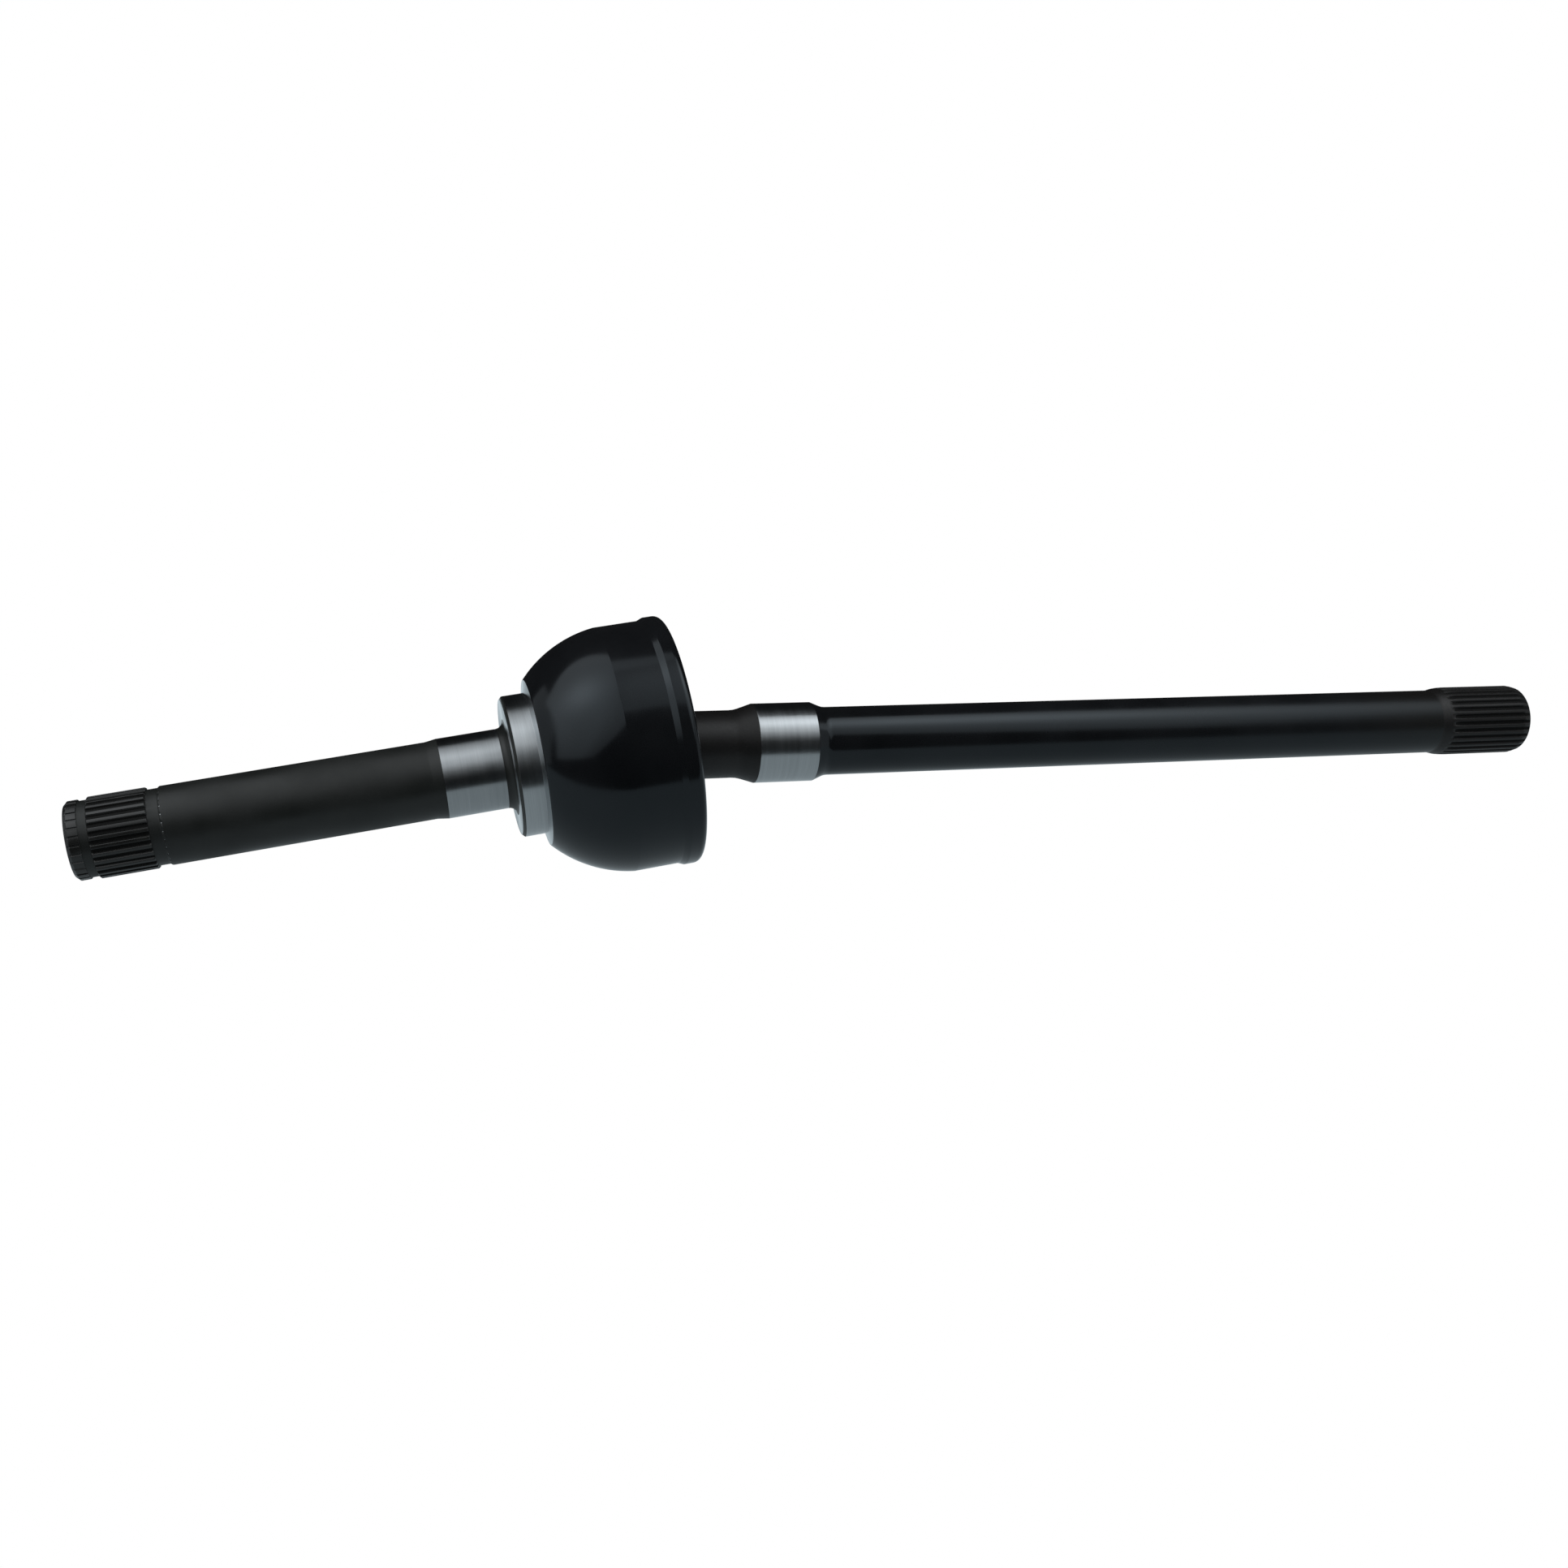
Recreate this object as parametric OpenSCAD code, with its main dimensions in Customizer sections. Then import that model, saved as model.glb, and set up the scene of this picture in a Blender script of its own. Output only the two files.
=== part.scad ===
// Front axle shaft with a fixed six-ball constant-velocity joint.
// Frame: origin at the joint centre, -X outboard along the stub shaft, +X inboard, +Z up.
// The inboard half hangs in the XZ plane, turned about Y by the resting bend.
// Stations are distances from the joint centre along each half's own axis.

/* [Bend] */
// Resting bend between the two shafts, degrees
rest_bend = 7.8; // [0:0.1:30]

/* [Stub shaft] */
// Joint centre to the outboard tip
stub_tip = 224; // [150:0.5:320]
// Diameter of the stub shaft
stub_d = 32; // [26:0.1:36]
// Length of the 45 degree chamfer at the tip
tip_chamfer = 1.5; // [0.5:0.1:3]
// Diameter of the narrow toothed land at the tip
land_d = 31.9; // [28:0.1:38]
// Length of that land, without its chamfer
land_len = 3.8; // [2:0.1:8]
// Width of the snap ring groove
ring_groove_w = 3.5; // [1.5:0.1:5]
// Diameter at the bottom of the snap ring groove and of the hob run-out groove
groove_d = 30.7; // [27:0.1:31]
// Outer diameter of the hub spline
hub_spline_d = 32.8; // [30:0.1:40]
// Root diameter of the hub spline
hub_root_d = 30.9; // [28:0.1:38]
// Length of the hub spline
hub_spline_len = 22.4; // [12:0.1:50]
// Number of teeth on the hub spline
hub_teeth = 29; // [20:1:36]
// Width of the hob run-out groove behind the hub spline
runout_w = 4.9; // [2:0.1:8]

/* [Spindle journal] */
// Diameter of the ground spindle journal
spindle_d = 33.35; // [30:0.05:40]
// Station where the journal ends and the taper to the stub shaft starts
spindle_end = 78.1; // [65:0.1:110]
// Length of that taper
spindle_taper = 4.6; // [2:0.1:10]
// Radius of the fillet between the journal and the thrust face
spindle_fillet = 3.5; // [1:0.1:5]

/* [Thrust flange] */
// Diameter of the thrust flange
flange_d = 59.2; // [50:0.1:66]
// Station of the thrust face
thrust_face = 50; // [46:0.1:60]
// Chamfer on the flange's outboard edge
flange_chamfer = 1.2; // [0.4:0.1:2.5]
// Station where the flange meets the bell's machined back face
flange_root = 39.9; // [36:0.1:44]

/* [Bell] */
// Diameter of the bell's cylindrical part
bell_d = 103.8; // [102:0.1:110]
// Radius of the bell's domed back, a little more than the cylinder's
dome_r = 52.3; // [51.5:0.1:56]
// Station of the bell's back edge
bell_back = 38.8; // [34:0.1:42]
// Diameter of the raised lip at the mouth
lip_d = 105.9; // [103:0.1:112]
// Station past the joint centre where the step up to the lip starts
lip_step = 12.3; // [6:0.1:16]
// Length of that step
lip_step_len = 2.5; // [0.5:0.1:4]
// Station past the joint centre of the mouth
mouth = 21.6; // [19:0.1:26]
// Radius of the lip's rounded outer edge
rim_r = 3; // [0.5:0.1:4]
// Radius of the mouth's flared opening
flare_r = 41.5; // [38:0.1:44]
// Station past the joint centre where the flare starts
flare_start = 12; // [8:0.1:15]

/* [Joint] */
// Diameter of each ball
ball_d = 20.6; // [16:0.1:22.5]
// Radius of the circle of ball centres
ball_circle_r = 34.3; // [33:0.1:36]
// Distance of each track's centre from the joint centre, along its own axis
track_offset = 4; // [2:0.1:5]
// Clearance between a ball and its tracks
track_clearance = 0.3; // [0.1:0.05:0.5]
// Clearance between a ball and each flank of its window
window_clearance = 0.5; // [0.3:0.05:0.8]
// Room for a ball to creep sideways in its window, each way
window_creep = 1.9; // [1.5:0.1:2.5]
// Radius of the ball cage's outer sphere
cage_r = 38; // [37:0.1:39]
// Wall of the ball cage
cage_wall = 5.8; // [4:0.1:7]
// Width of the ball cage along its axis
cage_w = 30.4; // [28:0.1:34]
// Clearance between the cage and each race
seat_clearance = 0.3; // [0.1:0.05:0.5]
// Distance of the inner race's outboard face from the joint centre
race_out = 13.5; // [11:0.1:15]
// Distance of the inner race's inboard face from the joint centre
race_in = 11.5; // [9:0.1:12.5]

/* [Race seat] */
// Outer diameter of the spline that carries the inner race
race_spline_d = 28.6; // [26:0.1:28.8]
// Root diameter of that spline
race_root_d = 26.8; // [24:0.1:27]
// Number of teeth on that spline
race_teeth = 27; // [20:1:32]
// Radial clearance between the shaft's spline and the race
race_clearance = 0.04; // [0.02:0.01:0.1]
// Thickness of the stop ring
stop_ring_t = 1.6; // [1:0.1:2.5]
// Outer diameter of the stop ring
stop_ring_d = 33.6; // [31:0.1:35]
// Wire diameter of the retaining circlip
circlip_wire = 2; // [1.5:0.1:2.5]
// Diameter at the bottom of the two ring grooves
race_groove_d = 25.6; // [23:0.1:26]
// Play of each ring in its groove, per side
ring_play = 0.1; // [0.05:0.05:0.3]
// Gap in each ring, degrees
ring_gap = 24; // [10:1:60]
// Length of shaft beyond the circlip groove
shaft_nose = 3; // [2:0.1:5]

/* [Inner shaft] */
// Joint centre to the inboard tip
inner_tip = 431; // [300:1:900]
// Diameter of the neck inside and behind the bell
neck_d = 29; // [28.8:0.1:30.5]
// Station where the neck ends
neck_end = 46; // [40:0.1:60]
// Length of the taper from the neck up to the seal journal
neck_taper = 7.9; // [3:0.1:14]
// Diameter of the ground seal journal
seal_d = 34.1; // [31:0.1:38]
// Length of the seal journal
seal_len = 25.7; // [15:0.1:60]
// Length of the taper from the seal journal down to the shaft
seal_taper = 5.3; // [2:0.1:12]
// Diameter of the long shaft
shaft_d = 29.5; // [26:0.1:31]
// Length of the shoulder up to the differential spline
shoulder_len = 6; // [2:0.1:12]
// Outer diameter of the differential spline
diff_spline_d = 32; // [30:0.1:36]
// Root diameter of the differential spline
diff_root_d = 30; // [27:0.1:34]
// Length of the differential spline, without its chamfer
diff_spline_len = 36.5; // [20:0.1:70]
// Number of teeth on the differential spline
diff_teeth = 29; // [20:1:36]
// Length of the chamfer at the inboard tip
end_chamfer_len = 3.5; // [1:0.1:6]
// Drop in radius along that chamfer
end_chamfer_drop = 1; // [0.4:0.1:2]

/* [Lathe centres] */
// Mouth diameter of the centre hole in each shaft's end
centre_d = 8; // [4:0.1:10]
// Diameter of the centre hole's pilot
centre_pilot_d = 3.2; // [2:0.1:4]
// Depth of the pilot
centre_depth = 8; // [6:0.5:14]

/* [Hidden] */
BALLS = 6;
$fn = 96;
arc_step = 15;
overlap = 0.5;

// Share of the tooth pitch taken by a tooth's tip land and by its foot.
tip_share = 0.36;
foot_share = 0.66;
land_tip_share = 0.66;
land_foot_share = 0.84;

// Radii of the hub end and of the bell.
bell_r = bell_d / 2;
lip_r = lip_d / 2;
spindle_r = spindle_d / 2;
land_start = stub_tip - tip_chamfer - land_len;
hub_spline_out = land_start - ring_groove_w;
hub_spline_in = hub_spline_out - hub_spline_len;
shaft_shoulder = hub_spline_in - runout_w;
land_root_d = groove_d + 0.3;
// Slope of the bell's back face, which meets the dome at bell_back.
back_slope = (flange_root - bell_back)
    / (sqrt(dome_r * dome_r - bell_back * bell_back) - flange_d / 2);

// The balls roll on two equal arcs whose centres lie track_offset either side of the joint centre.
ball_r = ball_d / 2;
track_r = norm([ball_circle_r, track_offset]);
track_bore = ball_r + track_clearance;
track_half_angle = 62;
outer_track_deep = 48;
outer_seat_r = cage_r + seat_clearance;
cage_bore_r = cage_r - cage_wall;
race_r = cage_bore_r - seat_clearance;
window_half_w = ball_r + window_clearance;
window_half_l = ball_r + window_creep;

// Places along the race seat.
stop_ring_x = race_in + ring_play;
circlip_x = -race_out - ring_play - circlip_wire / 2;
nose_tip = circlip_x - circlip_wire / 2 - ring_play - shaft_nose;
nose_chamfer = 1.5;
circlip_r = race_spline_d / 2;

// Places along the inner shaft.
seal_start = neck_end + neck_taper;
seal_end = seal_start + seal_len;
shaft_start = seal_end + seal_taper;
diff_spline_in = inner_tip - end_chamfer_len - diff_spline_len;
shaft_end = diff_spline_in - shoulder_len;
// The shoulder stops just under the tooth tips.
shoulder_rise = (diff_spline_d - shaft_d) / 2 - 0.1;

// Azimuth of ball i about the joint's axis, from +Y, so balls 1 and 4 sit on the bend axis.
function azimuth(i) = i * 360 / BALLS;

// Angle of ball i along the outer track, from the radial direction towards the mouth, at a bend.
function track_angle(i, bend) =
    let (tilt = sin(azimuth(i)) * tan(bend / 2))
    atan(tilt) - asin(track_offset / (track_r * sqrt(1 + tilt * tilt)));

// Radius of the bell's flared opening at a station; the flare cone cuts the seat at flare_start.
function flare_radius(x) =
    let (seat = sqrt(outer_seat_r * outer_seat_r - flare_start * flare_start))
    seat + (flare_r - seat) * (x - flare_start) / (mouth - flare_start);

// Points of a toothed outline: each tooth has two foot points and two tip points.
function tooth_outline(teeth, root_r, tip_r, tip, foot) = [
    for (i = [0 : teeth - 1], corner = [[root_r, -foot], [tip_r, -tip], [tip_r, tip], [root_r, foot]])
        let (a = (i + corner[1] / 2) * 360 / teeth)
        [corner[0] * cos(a), corner[0] * sin(a)]
];

// Turns a solid drawn along Z so that it lies along X.
module lay_along_x() {
    rotate([0, 90, 0]) children();
}

// A toothed bar along X between two stations.
module toothed_bar(x0, x1, teeth, root_r, tip_r, tip = tip_share, foot = foot_share) {
    translate([x0, 0, 0])
        lay_along_x()
            linear_extrude(x1 - x0) polygon(tooth_outline(teeth, root_r, tip_r, tip, foot));
}

// A solid of revolution about X from outline points [radius, station].
module turned(points) {
    lay_along_x() rotate_extrude() polygon(points);
}

// A straight cylinder or cone about X between two stations.
module round_bar(x0, x1, r0, r1) {
    translate([x0, 0, 0]) lay_along_x() cylinder(h = x1 - x0, r1 = r0, r2 = r1);
}

// A lathe centre hole that opens towards dir at station x.
module lathe_centre(x, dir) {
    cone = (centre_d - centre_pilot_d) / 2 / tan(30);
    translate([x, 0, 0])
        rotate([0, dir * -90, 0])
            union() {
                translate([0, 0, -overlap])
                    cylinder(h = centre_depth + overlap, d = centre_pilot_d);
                cylinder(h = cone, d1 = centre_d, d2 = centre_pilot_d);
                translate([0, 0, -overlap]) cylinder(h = overlap, d = centre_d);
            }
}

// Six ball tracks about a centre on the X axis, between two angles from the radial direction.
module ball_tracks(centre_x, from_angle, to_angle) {
    translate([centre_x, 0, 0])
        for (i = [0 : BALLS - 1])
            rotate([azimuth(i), 0, 0])
                rotate([0, 0, 90 - to_angle])
                    rotate_extrude(angle = to_angle - from_angle)
                        translate([track_r, 0]) circle(r = track_bore);
}

// Outline of the stub shaft, its journal, the flange and the bell, before the dome is cut.
function outer_outline() = concat(
    [[0, -shaft_shoulder], [stub_d / 2, -shaft_shoulder]],
    [[stub_d / 2, -spindle_end - spindle_taper], [spindle_r, -spindle_end]],
    [for (a = [0 : arc_step : 90])
        [spindle_r + spindle_fillet * (1 - cos(a)),
         -thrust_face - spindle_fillet * (1 - sin(a))]],
    [[flange_d / 2 - flange_chamfer, -thrust_face]],
    [[flange_d / 2, -thrust_face + flange_chamfer], [flange_d / 2, -flange_root]],
    [[bell_r, -flange_root + back_slope * (bell_r - flange_d / 2)]],
    [[bell_r, lip_step], [lip_r, lip_step + lip_step_len]],
    [for (a = [0 : arc_step : 90])
        [lip_r - rim_r * (1 - cos(a)), mouth - rim_r * (1 - sin(a))]],
    [[0, mouth]]
);

// That outline with the bell's back turned to a dome about the joint centre.
module outer_section() {
    dome_zone = flange_d / 2 + 2;
    difference() {
        polygon(outer_outline());
        difference() {
            translate([dome_zone, -thrust_face]) square([bell_r, thrust_face]);
            circle(r = dome_r, $fn = 200);
        }
    }
}

// Bell, thrust flange, spindle journal and splined stub shaft, forged and machined in one piece.
module outer_race_stub_shaft() {
    color("#17191b")
    difference() {
        union() {
            lay_along_x() rotate_extrude() outer_section();
            round_bar(-hub_spline_in - overlap, -shaft_shoulder + overlap, groove_d / 2, groove_d / 2);
            toothed_bar(-hub_spline_out, -hub_spline_in, hub_teeth, hub_root_d / 2, hub_spline_d / 2);
            round_bar(-land_start - overlap, -hub_spline_out + overlap, groove_d / 2, groove_d / 2);
            intersection() {
                toothed_bar(-stub_tip, -land_start, hub_teeth, land_root_d / 2, land_d / 2,
                    land_tip_share, land_foot_share);
                round_bar(-stub_tip, -land_start, land_d / 2 - tip_chamfer,
                    land_d / 2 + land_len);
            }
        }
        sphere(r = outer_seat_r, $fn = 160);
        round_bar(flare_start - 2, mouth + overlap, flare_radius(flare_start - 2),
            flare_radius(mouth + overlap));
        ball_tracks(track_offset, -outer_track_deep, track_half_angle);
        lathe_centre(-stub_tip, -1);
    }
}

// Outline of the cage's ring, between its two spheres.
module cage_section() {
    difference() {
        intersection() {
            circle(r = cage_r, $fn = 160);
            translate([0, -cage_w / 2]) square([cage_r + 1, cage_w]);
        }
        circle(r = cage_bore_r, $fn = 160);
    }
}

// Ring with a window for each ball, guided between the two races' spheres.
module ball_cage() {
    inside = cage_bore_r * cos(180 / BALLS) - 2;
    color("#4a4c4e")
    rotate([0, rest_bend / 2, 0])
        difference() {
            lay_along_x() rotate_extrude($fn = 160) cage_section();
            for (i = [0 : BALLS - 1])
                rotate([azimuth(i), 0, 0])
                    translate([-window_half_w, inside, -window_half_l])
                        cube([2 * window_half_w, cage_r, 2 * window_half_l]);
        }
}

// Star-shaped inner race, splined onto the shaft.
module inner_race() {
    bore_foot_share = foot_share + 0.02;
    bore_tip_share = tip_share + 0.02;
    color("#8b8e90")
    rotate([0, rest_bend, 0])
        difference() {
            intersection() {
                sphere(r = race_r, $fn = 160);
                round_bar(-race_out, race_in, race_r + 1, race_r + 1);
            }
            ball_tracks(-track_offset, -track_half_angle, track_half_angle);
            toothed_bar(-race_out - 1, race_in + 1, race_teeth,
                race_root_d / 2 + race_clearance, race_spline_d / 2 + race_clearance,
                bore_tip_share, bore_foot_share);
        }
}

// Ball i at its place on the bisecting plane of the resting bend.
module ball(i) {
    angle = track_angle(i, rest_bend);
    color("#c9ccce")
    rotate([azimuth(i), 0, 0])
        translate([track_offset + track_r * sin(angle), track_r * cos(angle), 0])
            sphere(r = ball_r, $fn = 96);
}

// Flat snap ring that stops the inner race on its inboard side.
module stop_ring() {
    color("#6b6e70")
    rotate([0, rest_bend, 0])
        translate([stop_ring_x, 0, 0])
            lay_along_x()
                rotate([0, 0, ring_gap / 2])
                    rotate_extrude(angle = 360 - ring_gap)
                        translate([race_groove_d / 2 + ring_play, 0])
                            square([(stop_ring_d - race_groove_d) / 2 - ring_play, stop_ring_t]);
}

// Round-wire circlip at the shaft's nose that keeps the inner race on.
module retaining_circlip() {
    color("#6b6e70")
    rotate([0, rest_bend, 0])
        translate([circlip_x, 0, 0])
            lay_along_x()
                rotate([0, 0, ring_gap / 2])
                    rotate_extrude(angle = 360 - ring_gap)
                        translate([circlip_r, 0]) circle(d = circlip_wire, $fn = 32);
}

// Outline of the inner axle shaft's neck, seal journal, long shaft and shoulder.
function shaft_outline() = [
    [0, stop_ring_x + stop_ring_t + ring_play],
    [neck_d / 2, stop_ring_x + stop_ring_t + ring_play],
    [neck_d / 2, neck_end],
    [seal_d / 2, seal_start],
    [seal_d / 2, seal_end],
    [shaft_d / 2, shaft_start],
    [shaft_d / 2, shaft_end],
    for (t = [0.25 : 0.25 : 1])
        [shaft_d / 2 + shoulder_rise * sin(90 * t), shaft_end + shoulder_len * t],
    [0, diff_spline_in]
];

// Long shaft: race seat, neck, seal journal and differential spline, in one piece.
module inner_axle_shaft() {
    color("#17191b")
    rotate([0, rest_bend, 0])
        difference() {
            union() {
                turned(shaft_outline());
                round_bar(nose_tip, nose_tip + nose_chamfer, race_root_d / 2 - nose_chamfer,
                    race_root_d / 2);
                round_bar(nose_tip + nose_chamfer, circlip_x - circlip_wire / 2 - ring_play,
                    race_root_d / 2, race_root_d / 2);
                round_bar(circlip_x - circlip_wire / 2 - ring_play - overlap,
                    stop_ring_x + stop_ring_t + ring_play + overlap,
                    race_groove_d / 2, race_groove_d / 2);
                toothed_bar(circlip_x + circlip_wire / 2 + ring_play, stop_ring_x - ring_play,
                    race_teeth, race_root_d / 2, race_spline_d / 2);
                intersection() {
                    toothed_bar(diff_spline_in, inner_tip, diff_teeth, diff_root_d / 2,
                        diff_spline_d / 2);
                    round_bar(diff_spline_in, inner_tip,
                        diff_spline_d / 2 + end_chamfer_drop * diff_spline_len / end_chamfer_len,
                        diff_spline_d / 2 - end_chamfer_drop);
                }
            }
            lathe_centre(inner_tip, 1);
            lathe_centre(nose_tip, -1);
        }
}

outer_race_stub_shaft();
ball_cage();
inner_race();
ball(0);  // ball_1
ball(1);  // ball_2
ball(2);  // ball_3
ball(3);  // ball_4
ball(4);  // ball_5
ball(5);  // ball_6
stop_ring();
retaining_circlip();
inner_axle_shaft();
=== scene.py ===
# Front axle shaft with a fixed six-ball joint: forged bell and stub shaft, ball cage, inner race,
# balls, two retaining rings and the long inner axle shaft. The joint centre is the origin,
# the stub shaft points along -X and the inner shaft hangs a little below +X.
import math
import bpy
from mathutils import Euler, Matrix, Vector


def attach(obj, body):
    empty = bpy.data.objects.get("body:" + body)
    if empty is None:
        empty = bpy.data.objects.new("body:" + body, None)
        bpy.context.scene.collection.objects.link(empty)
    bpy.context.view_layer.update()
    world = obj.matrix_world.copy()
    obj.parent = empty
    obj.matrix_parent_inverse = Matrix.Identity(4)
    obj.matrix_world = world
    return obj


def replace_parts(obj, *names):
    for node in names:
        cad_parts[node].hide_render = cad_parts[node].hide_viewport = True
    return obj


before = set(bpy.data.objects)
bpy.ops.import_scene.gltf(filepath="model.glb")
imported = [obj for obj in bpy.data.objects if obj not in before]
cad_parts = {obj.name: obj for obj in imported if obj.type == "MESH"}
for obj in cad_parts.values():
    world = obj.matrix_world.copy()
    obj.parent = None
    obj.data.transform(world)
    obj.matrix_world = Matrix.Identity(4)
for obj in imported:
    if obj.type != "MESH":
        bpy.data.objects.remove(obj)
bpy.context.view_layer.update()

# ---------------------------------------------------------------------------------------------
# Outer race and stub shaft. One steel forging, turned, hobbed and blackened all over, with six
# ball tracks ground in its bell. Then the spindle journal, the thrust flange and the bell's back
# face are ground bright.
# ---------------------------------------------------------------------------------------------
# Sizes in millimetres. Places along the axis are distances from the joint centre.
MM = 0.001
STUB_TIP = 224.0
TIP_CHAMFER = 1.5
LAND_R, LAND_ROOT_R = 15.95, 15.5
LAND_START = 218.7
GROOVE_R = 15.35
HUB_TEETH = 29
HUB_R, HUB_ROOT_R = 16.4, 15.45
HUB_OUT, HUB_IN = 215.2, 192.8
SHOULDER = 187.9
STUB_R = 16.0
SPINDLE_R, SPINDLE_END = 16.675, 78.1
SPINDLE_TAPER, TAPER_FILLET, SPINDLE_FILLET = 4.6, 0.5, 3.5
THRUST_FACE = 50.0
FLANGE_R, FLANGE_CHAMFER, FLANGE_ROOT = 29.6, 1.2, 39.9
DOME_R, BELL_BACK, BELL_R = 52.3, 38.8, 51.9
LIP_STEP, LIP_STEP_LEN, LIP_R = 12.3, 2.5, 52.95
MOUTH, RIM_R = 21.6, 3.0
FLARE_R, FLARE_START = 41.5, 12.0
SEAT_R = 38.3
TRACK_OFFSET, TRACK_R, TRACK_BORE = 4.0, 34.532, 10.6
CENTRE_R, PILOT_R, PILOT_DEPTH, DRILL_POINT = 4.0, 1.6, 8.0, 1.0
CENTRE_CONE = (CENTRE_R - PILOT_R) / math.tan(math.radians(30))
EASE, EDGE, BREAK = 0.1, 0.15, 0.2    # how far turned corners are broken: hardly, lightly, more
BALLS = 6
AROUND, AROUND_CENTRE = 240, 120    # points round the outside, and round a lathe centre

# Form of a hobbed tooth over one pitch: place as a share of the pitch, height as a share of the
# tooth. The slots of the outer land are narrower, because the hob only grazes it.
TOOTH = [(-0.5, 0), (-0.38, 0), (-0.335, 0.06), (-0.3, 0.22), (-0.215, 0.8), (-0.19, 0.94),
         (-0.15, 1), (0, 1), (0.15, 1), (0.19, 0.94), (0.215, 0.8), (0.3, 0.22), (0.335, 0.06),
         (0.38, 0)]
LAND_TOOTH = [(-0.5, 0), (-0.44, 0), (-0.42, 0.1), (-0.35, 0.9), (-0.33, 1), (0, 1), (0.33, 1),
              (0.35, 0.9), (0.42, 0.1), (0.44, 0)]
FLOOR_SHARE = 0.3    # a face is on a tooth space's floor if its two heights add up to less


def plain_ring(x, r, count=AROUND):
    return [(x, r, math.tau * i / count) for i in range(count)]


def toothed_ring(x, teeth, root, tip, form, limit=math.inf):
    """A ring at x with the form's teeth between root and tip, none of it further out than limit."""
    return [(x, min(root + (tip - root) * height, limit), (t + share) * math.tau / teeth)
            for t in range(teeth) for share, height in form]


def with_painted_shade_floors(finish, shade_finish):
    """The finish of each face of a toothed band, with painted shade on its tooth spaces' floors."""
    floors = [k for k in range(len(TOOTH))
              if TOOTH[k][1] + TOOTH[(k + 1) % len(TOOTH)][1] < FLOOR_SHARE]
    return lambda face: shade_finish if face % len(TOOTH) in floors else finish


def arc(x, r, radius, start, end, steps):
    """Outline corners along an arc about (x, r), its angles in degrees from +X."""
    angles = [math.radians(start + (end - start) * k / steps) for k in range(steps + 1)]
    return [(x + radius * math.cos(a), r + radius * math.sin(a), 0) for a in angles]


def lathe_centre(tip, inward):
    """Outline corners of the centre hole in the end face at tip, from its bottom outwards."""
    return [(tip + inward * (PILOT_DEPTH + DRILL_POINT), 0, 0),
            (tip + inward * PILOT_DEPTH, PILOT_R, 0),
            (tip + inward * CENTRE_CONE, PILOT_R, EASE), (tip, CENTRE_R, BREAK)]


def eased(outline):
    """Outline points (x, r) from corners (x, r, cut): a corner is rounded over cut each way."""
    points = []
    for k, (x, r, cut) in enumerate(outline):
        corner = Vector((x, r))
        if cut:
            before = corner + (Vector(outline[k - 1][:2]) - corner).normalized() * cut
            after = corner + (Vector(outline[k + 1][:2]) - corner).normalized() * cut
            points += [before, (2 * corner + before + after) / 4, after]
        else:
            points.append(corner)
    return [(p[0], p[1]) for p in points]


def next_angle(ring, at):
    """The angle of the ring's point after at, once round, and infinity beyond that."""
    if at + 1 < len(ring):
        return ring[at + 1][2]
    return ring[0][2] + math.tau if at + 1 == len(ring) else math.inf


class Turning:
    """Rings of points about the X axis, with the finish of the band that leads up to each. A finish
    is the number of a material, or a function that gives it for each face round the band."""

    def __init__(self):
        self.rings, self.bands = [], []

    def add(self, ring, finish):
        self.rings.append(ring)
        self.bands.append(finish)

    def cut(self, outline, finish, count=AROUND):
        for x, r in eased(outline):
            self.add(plain_ring(x, r, count) if r > 0 else [(x, 0, 0)], finish)

    def piece(self, name, finishes):
        points, faces, slots = [], [], []
        starts = []
        for ring in self.rings:
            starts.append(len(points))
            points += [(x * MM, r * MM * math.sin(a), -r * MM * math.cos(a)) for x, r, a in ring]
        # Rings with as many points are joined by quads. Otherwise triangles go round both rings,
        # each to the next point on the ring where that comes sooner, and a ring of one point is
        # a tip that they all share.
        for k in range(1, len(self.rings)):
            before, after = self.rings[k - 1], self.rings[k]
            band = self.bands[k]
            i = j = 0
            while i < len(before) or j < len(after):
                a0, a1 = [starts[k - 1] + (i + more) % len(before) for more in (0, 1)]
                b0, b1 = [starts[k] + (j + more) % len(after) for more in (0, 1)]
                if len(before) == len(after):
                    faces.append((a0, a1, b1, b0))
                    i, j = i + 1, j + 1
                elif len(after) == 1 or (len(before) > 1
                                         and next_angle(before, i) <= next_angle(after, j)):
                    faces.append((a0, a1, b0))
                    i += 1
                    j = 1 if len(after) == 1 else j
                else:
                    faces.append((a0, b1, b0))
                    j += 1
                    i = 1 if len(before) == 1 else i
                slots.append(band(i - 1) if callable(band) else band)
        mesh = bpy.data.meshes.new(name)
        mesh.from_pydata(points, [], faces)
        mesh.polygons.foreach_set("material_index", slots)
        mesh.polygons.foreach_set("use_smooth", [True] * len(faces))
        for finish in finishes:
            mesh.materials.append(finish)
        mesh.update()
        made = bpy.data.objects.new(name, mesh)
        bpy.context.scene.collection.objects.link(made)
        made.modifiers.new("facet_weighted_shading", "WEIGHTED_NORMAL")
        return made


def linear(code):
    """An sRGB hex colour as linear RGBA."""
    parts = [int(code[k:k + 2], 16) / 255 for k in (1, 3, 5)]
    return [p / 12.92 if p <= 0.04045 else ((p + 0.055) / 1.055) ** 2.4 for p in parts] + [1]


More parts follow.
